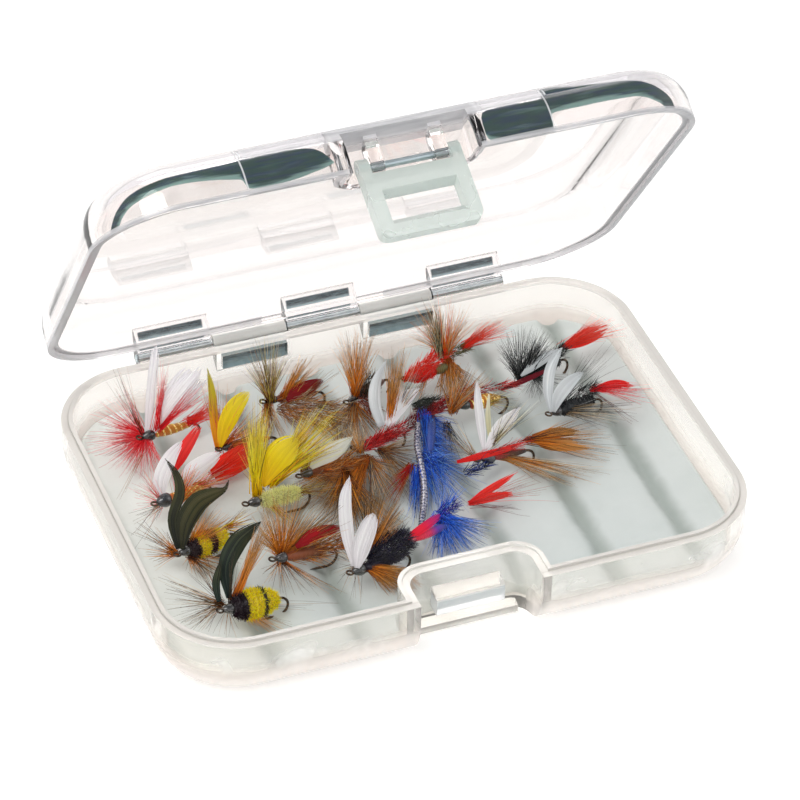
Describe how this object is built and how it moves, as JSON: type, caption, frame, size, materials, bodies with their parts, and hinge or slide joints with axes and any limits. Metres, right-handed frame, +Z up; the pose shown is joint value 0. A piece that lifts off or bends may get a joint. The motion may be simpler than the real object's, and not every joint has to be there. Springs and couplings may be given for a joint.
{
  "type": "fly box",
  "caption": "Shallow rounded case with a hinged clear lid, a snap latch, a ridged foam sheet and artificial flies hooked into it.",
  "frame": {"origin": "middle of the tray's underside, on the face it rests on", "axes": "+X to the right along the hinge line, +Y from the latch side to the hinge side, +Z up"},
  "size_m": [0.12, 0.0948, 0.0904],
  "materials": {
    "frosted_plastic": "frosted translucent moulding, soft satin",
    "clear_plastic": "clear polished moulding",
    "latch_plastic": "pearly translucent moulding, satin",
    "pin_steel": "drawn wire",
    "foam": "soft closed-cell foam sheet",
    "hook_wire": "bronzed wire",
    "tying_gold": "dyed feather and thread",
    "tying_red": "dyed feather and thread",
    "tying_bee": "dyed feather and thread",
    "tying_yellow": "dyed feather and thread",
    "tying_black": "dyed feather and thread",
    "tying_brown": "dyed feather and thread",
    "tying_blue": "dyed feather and thread"
  },
  "bodies": {
    "tray": {"base_tray": "frosted_plastic", "hinge_pin": "pin_steel", "foam_insert": "foam", "hook_01": "hook_wire", "hook_02": "hook_wire", "hook_03": "hook_wire", "hook_04": "hook_wire", "hook_05": "hook_wire", "hook_06": "hook_wire", "hook_07": "hook_wire", "hook_08": "hook_wire", "hook_09": "hook_wire", "hook_10": "hook_wire", "hook_11": "hook_wire", "hook_12": "hook_wire", "hook_13": "hook_wire", "hook_14": "hook_wire", "hook_15": "hook_wire", "hook_16": "hook_wire", "hook_17": "hook_wire", "hook_18": "hook_wire", "hook_19": "hook_wire", "dressing_01": "tying_gold", "dressing_02": "tying_red", "dressing_03": "tying_gold", "dressing_04": "tying_bee", "dressing_05": "tying_bee", "dressing_06": "tying_yellow", "dressing_07": "tying_red", "dressing_08": "tying_black", "dressing_09": "tying_brown", "dressing_10": "tying_red", "dressing_11": "tying_blue", "dressing_12": "tying_red", "dressing_13": "tying_brown", "dressing_14": "tying_gold", "dressing_15": "tying_red", "dressing_16": "tying_black", "dressing_17": "tying_black", "dressing_18": "tying_red", "dressing_19": "tying_brown"},
    "lid": {"lid": "clear_plastic", "latch_pin": "pin_steel"},
    "latch": {"latch": "latch_plastic"}
  },
  "joints": [
    {"name": "lid_hinge", "type": "hinge", "parent": "tray", "child": "lid", "pos_m": [0, 0.0459, 0.0133], "axis": [-1, 0, 0], "range_deg": [-55, 120]},
    {"name": "latch_pivot", "type": "hinge", "parent": "lid", "child": "latch", "pos_m": [0, -0.00036, 0.08407], "axis": [-1, 0, 0], "range_deg": [-8, 85]}
  ]
}
